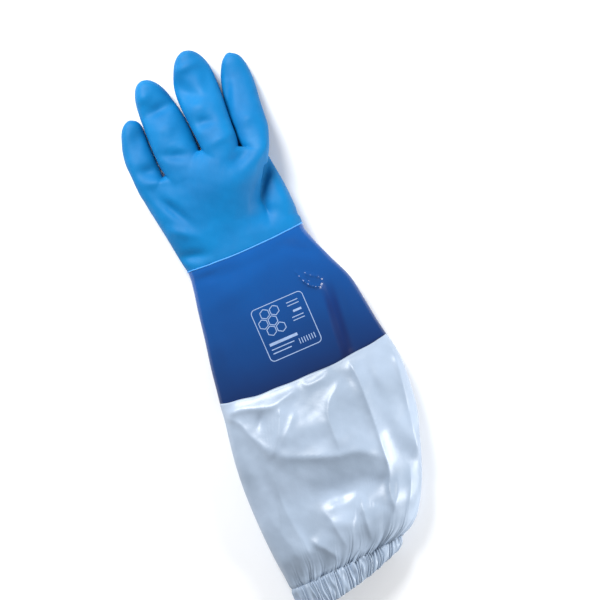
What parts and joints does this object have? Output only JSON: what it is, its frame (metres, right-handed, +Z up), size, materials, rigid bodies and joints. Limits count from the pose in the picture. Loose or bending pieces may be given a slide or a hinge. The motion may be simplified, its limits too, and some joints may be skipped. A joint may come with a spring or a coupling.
{
  "type": "beekeeping glove",
  "caption": "Long protective glove for the left hand: matte coated fingers and palm, glossy gauntlet, and a loose cloth sleeve gathered on an elastic cuff, lying back of the hand up.",
  "frame": {"origin": "on the surface the glove lies on, under the middle of the wrist where the light coat ends", "axes": "+Y along the glove towards the fingertips, +X towards the thumb's side, +Z up out of the back of the hand"},
  "size_m": [0.1789, 0.5163, 0.0465],
  "materials": {
    "coated_hand": "matte, finely sanded vinyl coat",
    "gloss_gauntlet": "smooth glossy vinyl coat",
    "sleeve_cloth": "thin white coated cloth with a satin sheen",
    "cuff_cloth": "the same cloth, gathered over elastic"
  },
  "bodies": {
    "root": {"hand": "coated_hand", "gauntlet": "gloss_gauntlet", "sleeve": "sleeve_cloth", "elastic_cuff": "cuff_cloth"}
  },
  "joints": []
}
